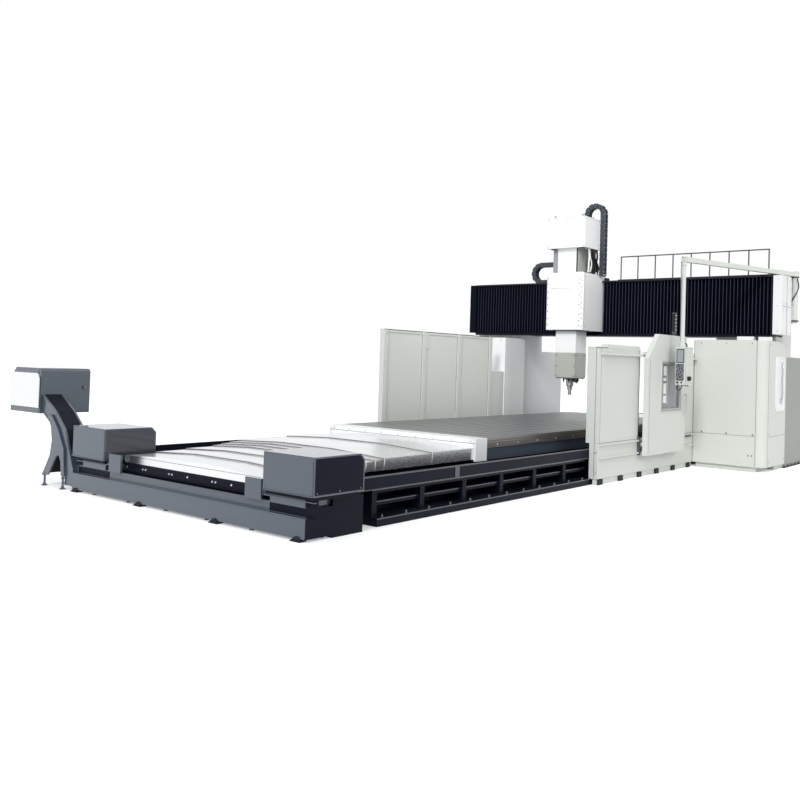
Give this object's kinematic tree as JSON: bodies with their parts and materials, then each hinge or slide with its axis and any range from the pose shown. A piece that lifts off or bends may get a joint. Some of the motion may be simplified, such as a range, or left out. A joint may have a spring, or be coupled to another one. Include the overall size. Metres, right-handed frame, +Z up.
{
  "type": "gantry machining center",
  "caption": "Gantry machining center with a travelling table under telescopic covers, a ram head on a crossbeam, side enclosures and a chip conveyor.",
  "frame": {"origin": "on the floor in the middle of the bed's underside, straight under the ram's travel", "axes": "+X along the bed away from the chip conveyor, +Y across it to the far side, +Z up"},
  "size_m": [22.125, 7.9648, 5.6949],
  "materials": {
    "navy_paint": "semi-gloss",
    "slate_paint": "satin",
    "dark_paint": "satin",
    "ground_steel": "ground",
    "machined_iron": "machined",
    "cover_steel": "brushed",
    "white_paint": "satin",
    "cream_paint": "fine texture",
    "pane": "clear",
    "bellows_fabric": "coated",
    "black_plastic": "moulded"
  },
  "bodies": {
    "machine_frame": {"bed_casting": "navy_paint", "bed_side_near": "navy_paint", "bed_side_far": "navy_paint", "guide_rails": "ground_steel", "chip_gutters": "slate_paint", "chip_trough": "slate_paint", "drive_box_near": "slate_paint", "drive_box_far": "slate_paint", "conveyor_incline": "slate_paint", "conveyor_head": "slate_paint", "conveyor_panel": "white_paint", "conveyor_leg": "slate_paint", "cover_front_1": "cover_steel", "cover_rear_1": "cover_steel", "column_near": "cream_paint", "column_far": "cream_paint", "crossbeam": "navy_paint", "beam_ways": "ground_steel", "beam_caps": "white_paint", "bellows_near": "bellows_fabric", "bellows_far": "bellows_fabric", "walkway": "dark_paint", "guard_rail": "dark_paint", "guard_wall": "cream_paint", "panel_lower": "cream_paint", "panel_upper": "cream_paint", "door_rails": "ground_steel", "cabinet_near": "cream_paint", "cabinet_far": "cream_paint", "stack_lamp": "dark_paint", "arm_post": "cream_paint"},
    "table": {"table_plate": "machined_iron", "table_base": "machined_iron", "table_aprons": "white_paint", "cover_front_8": "cover_steel", "cover_rear_6": "cover_steel"},
    "front_cover_2": {"cover_front_2": "cover_steel"},
    "front_cover_3": {"cover_front_3": "cover_steel"},
    "front_cover_4": {"cover_front_4": "cover_steel"},
    "front_cover_5": {"cover_front_5": "cover_steel"},
    "front_cover_6": {"cover_front_6": "cover_steel"},
    "front_cover_7": {"cover_front_7": "cover_steel"},
    "rear_cover_2": {"cover_rear_2": "cover_steel"},
    "rear_cover_3": {"cover_rear_3": "cover_steel"},
    "rear_cover_4": {"cover_rear_4": "cover_steel"},
    "rear_cover_5": {"cover_rear_5": "cover_steel"},
    "saddle": {"saddle_housing": "white_paint", "counterbalance": "ground_steel", "ram_chain": "black_plastic", "saddle_chain": "black_plastic"},
    "ram": {"ram": "white_paint", "balance_rods": "ground_steel", "head_cover": "white_paint"},
    "spindle": {"spindle": "ground_steel"},
    "door": {"sliding_door": "cream_paint", "door_pane": "pane"},
    "arm": {"pendant_arm": "cream_paint"},
    "pendant": {"pendant_box": "cream_paint"}
  },
  "joints": [
    {"name": "table_travel", "type": "slide", "parent": "machine_frame", "child": "table", "axis": [1, 0, 0], "range_m": [-1, 6.06]},
    {"name": "front_cover_2_travel", "type": "slide", "parent": "machine_frame", "child": "front_cover_2", "axis": [1, 0, 0], "range_m": [-0.1439, 0.8667]},
    {"name": "front_cover_3_travel", "type": "slide", "parent": "machine_frame", "child": "front_cover_3", "axis": [1, 0, 0], "range_m": [-0.2867, 1.7324]},
    {"name": "front_cover_4_travel", "type": "slide", "parent": "machine_frame", "child": "front_cover_4", "axis": [1, 0, 0], "range_m": [-0.4296, 2.5981]},
    {"name": "front_cover_5_travel", "type": "slide", "parent": "machine_frame", "child": "front_cover_5", "axis": [1, 0, 0], "range_m": [-0.5724, 3.4639]},
    {"name": "front_cover_6_travel", "type": "slide", "parent": "machine_frame", "child": "front_cover_6", "axis": [1, 0, 0], "range_m": [-0.7153, 4.3296]},
    {"name": "front_cover_7_travel", "type": "slide", "parent": "machine_frame", "child": "front_cover_7", "axis": [1, 0, 0], "range_m": [-0.8581, 5.1953]},
    {"name": "rear_cover_2_travel", "type": "slide", "parent": "machine_frame", "child": "rear_cover_2", "axis": [1, 0, 0], "range_m": [-0.201, 1.213]},
    {"name": "rear_cover_3_travel", "type": "slide", "parent": "machine_frame", "child": "rear_cover_3", "axis": [1, 0, 0], "range_m": [-0.401, 2.425]},
    {"name": "rear_cover_4_travel", "type": "slide", "parent": "machine_frame", "child": "rear_cover_4", "axis": [1, 0, 0], "range_m": [-0.601, 3.637]},
    {"name": "rear_cover_5_travel", "type": "slide", "parent": "machine_frame", "child": "rear_cover_5", "axis": [1, 0, 0], "range_m": [-0.801, 4.849]},
    {"name": "saddle_travel", "type": "slide", "parent": "machine_frame", "child": "saddle", "axis": [0, 1, 0], "range_m": [-2.4, 1.2], "deforming": ["bellows_near", "bellows_far"]},
    {"name": "ram_travel", "type": "slide", "parent": "saddle", "child": "ram", "axis": [0, 0, 1], "range_m": [-0.45, 0.5], "deforming": ["ram_chain"]},
    {"name": "spindle_spin", "type": "hinge", "parent": "ram", "child": "spindle", "pos_m": [0, 0.61, 1.7], "axis": [0, 0, 1], "continuous": true},
    {"name": "door_slide", "type": "slide", "parent": "machine_frame", "child": "door", "axis": [-1, 0, 0], "range_m": [0, 1.4]},
    {"name": "arm_swivel", "type": "hinge", "parent": "machine_frame", "child": "arm", "pos_m": [1.42, -3.76, 4.01], "axis": [0, 0, 1], "range_deg": [0, 60]},
    {"name": "pendant_swivel", "type": "hinge", "parent": "arm", "child": "pendant", "pos_m": [-1.88, -2.68, 2.41], "axis": [0, 0, 1], "range_deg": [-150, 0]}
  ],
  "couplings": [
    {"joint": "front_cover_2_travel", "follows": "table_travel", "ratio": 0.14286},
    {"joint": "front_cover_3_travel", "follows": "table_travel", "ratio": 0.28571},
    {"joint": "front_cover_4_travel", "follows": "table_travel", "ratio": 0.42857},
    {"joint": "front_cover_5_travel", "follows": "table_travel", "ratio": 0.57143},
    {"joint": "front_cover_6_travel", "follows": "table_travel", "ratio": 0.71429},
    {"joint": "front_cover_7_travel", "follows": "table_travel", "ratio": 0.85714},
    {"joint": "rear_cover_2_travel", "follows": "table_travel", "ratio": 0.2},
    {"joint": "rear_cover_3_travel", "follows": "table_travel", "ratio": 0.4},
    {"joint": "rear_cover_4_travel", "follows": "table_travel", "ratio": 0.6},
    {"joint": "rear_cover_5_travel", "follows": "table_travel", "ratio": 0.8}
  ]
}
